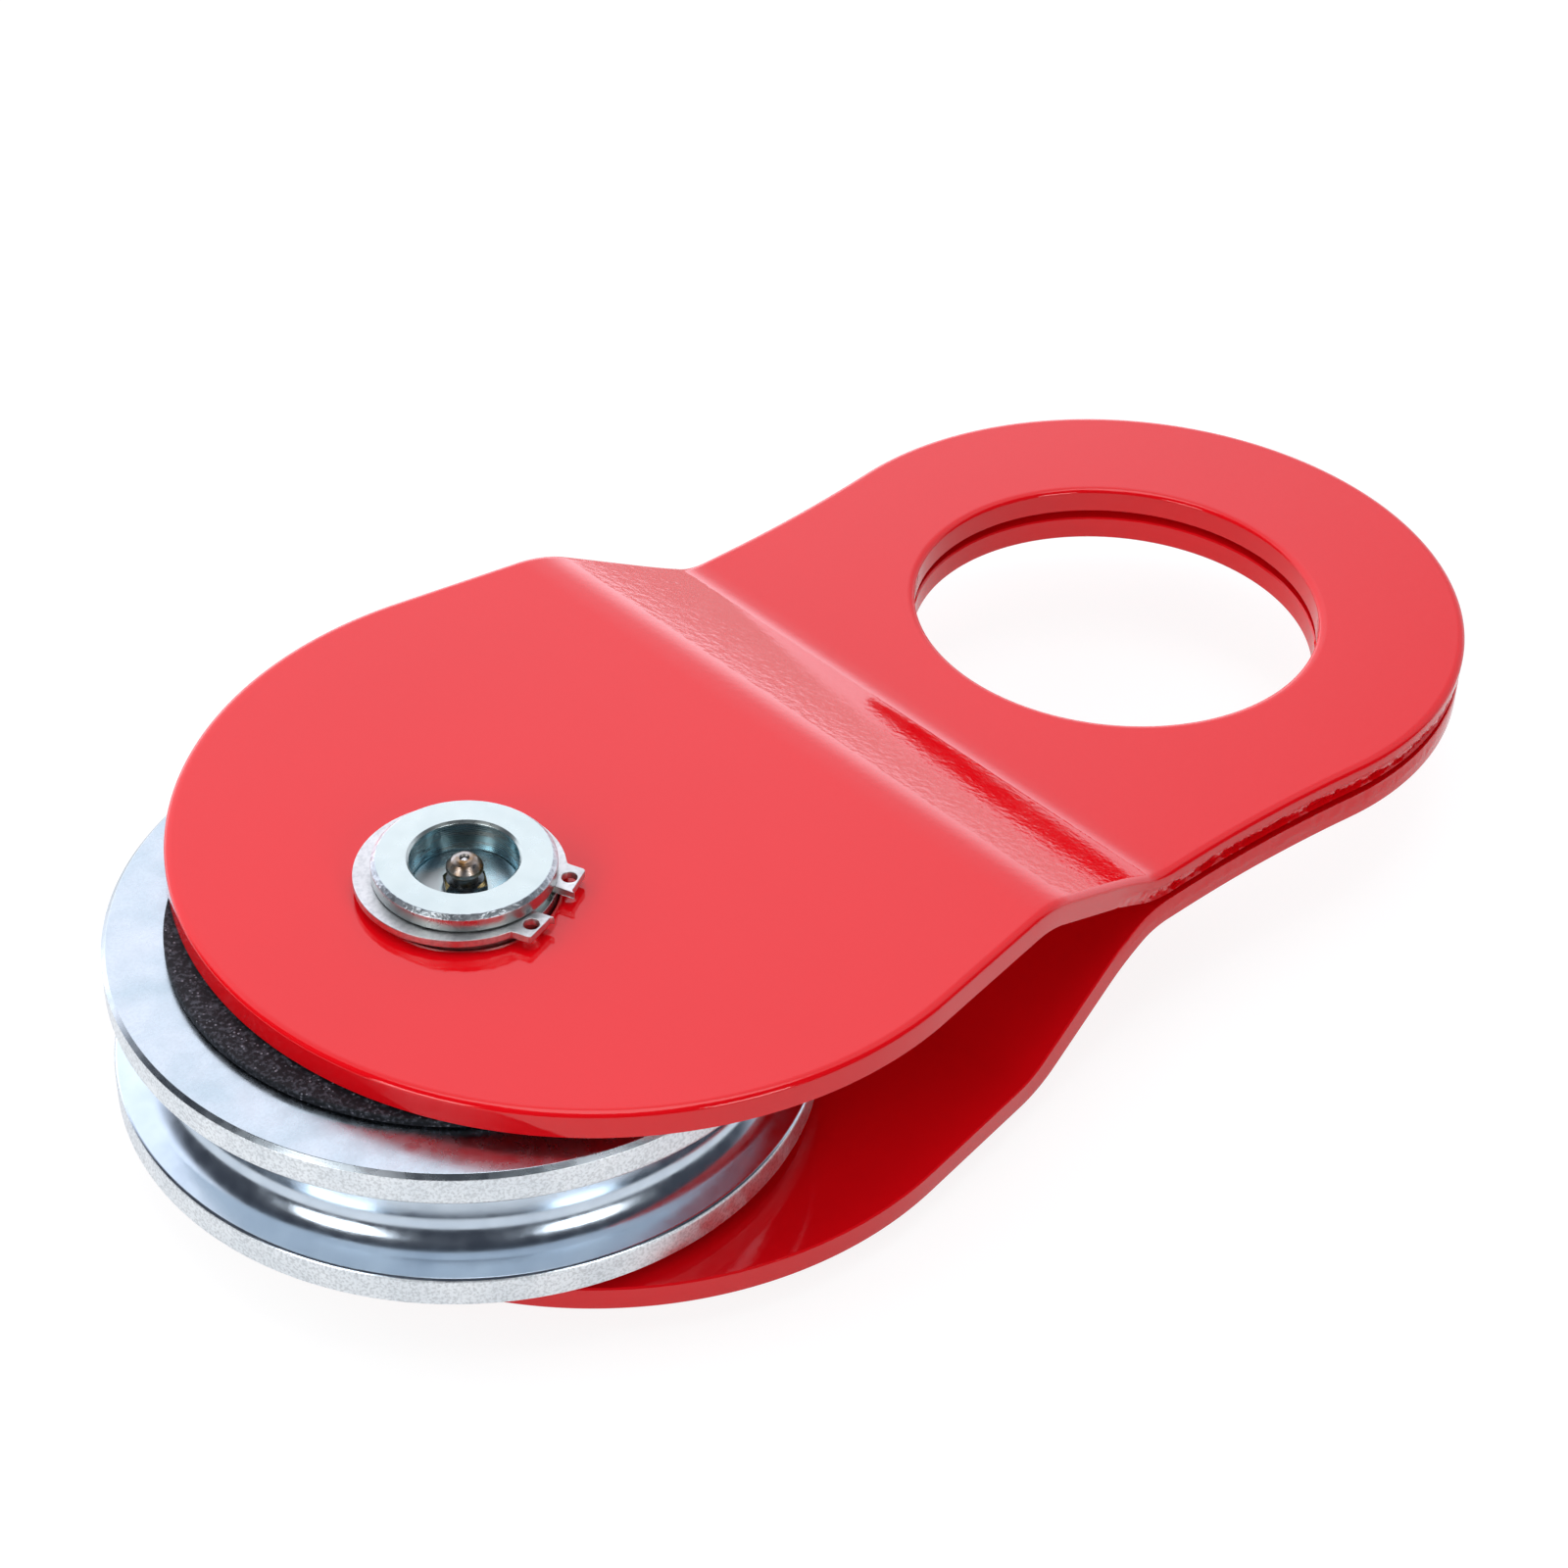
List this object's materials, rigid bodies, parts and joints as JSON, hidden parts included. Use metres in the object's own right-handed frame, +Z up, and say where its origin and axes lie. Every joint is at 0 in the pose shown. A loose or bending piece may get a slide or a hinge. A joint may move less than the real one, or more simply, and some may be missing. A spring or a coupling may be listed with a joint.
{
  "type": "snatch block",
  "caption": "Swing-side snatch block: a grooved sheave on a greased pin between two joggled side plates that close over a shackle eye.",
  "frame": {"origin": "centre of the axle pin's lower end face", "axes": "+Z up along the pin axis, +X from the pin to the shackle eye, +Y across the plates"},
  "size_m": [0.301, 0.152, 0.0574],
  "materials": {
    "red_powder_coat": "glossy red powder coat with a slight flow texture",
    "bright_zinc": "turned steel with a bright bluish zinc plating, grainy on the rims",
    "ring_steel": "stamped spring steel with a pale mottled zinc plating",
    "black_friction": "matt black, granular, with fine sparkle",
    "bush_bronze": "turned bearing bronze, plain",
    "yellow_zinc": "steel with a yellow passivated plating, darkened",
    "bright_steel": "bright ground steel"
  },
  "bodies": {
    "lower_plate_and_pin": {"lower_side_plate": "red_powder_coat", "axle_pin": "bright_zinc", "lower_snap_ring": "ring_steel", "upper_snap_ring": "ring_steel", "lower_thrust_washer": "black_friction", "grease_nipple": "yellow_zinc", "nipple_spring": "bright_steel"},
    "sheave": {"sheave": "bright_zinc", "sheave_bush": "bush_bronze", "upper_thrust_washer": "black_friction"},
    "upper_plate": {"upper_side_plate": "red_powder_coat"},
    "valve_ball": {"nipple_ball": "bright_steel"}
  },
  "joints": [
    {"name": "sheave_spin", "type": "hinge", "parent": "lower_plate_and_pin", "child": "sheave", "pos_m": [0, 0, 0.0281], "axis": [0, 0, 1], "continuous": true},
    {"name": "upper_plate_swing", "type": "hinge", "parent": "lower_plate_and_pin", "child": "upper_plate", "pos_m": [0, 0, 0.0482], "axis": [0, 0, 1], "continuous": true},
    {"name": "nipple_ball_slide", "type": "slide", "parent": "lower_plate_and_pin", "child": "valve_ball", "axis": [0, 0, 1], "range_m": [-0.0008, 0], "stiffness_N_per_m": 400, "springref_m": 0.0015, "deforming": ["nipple_spring"]}
  ]
}
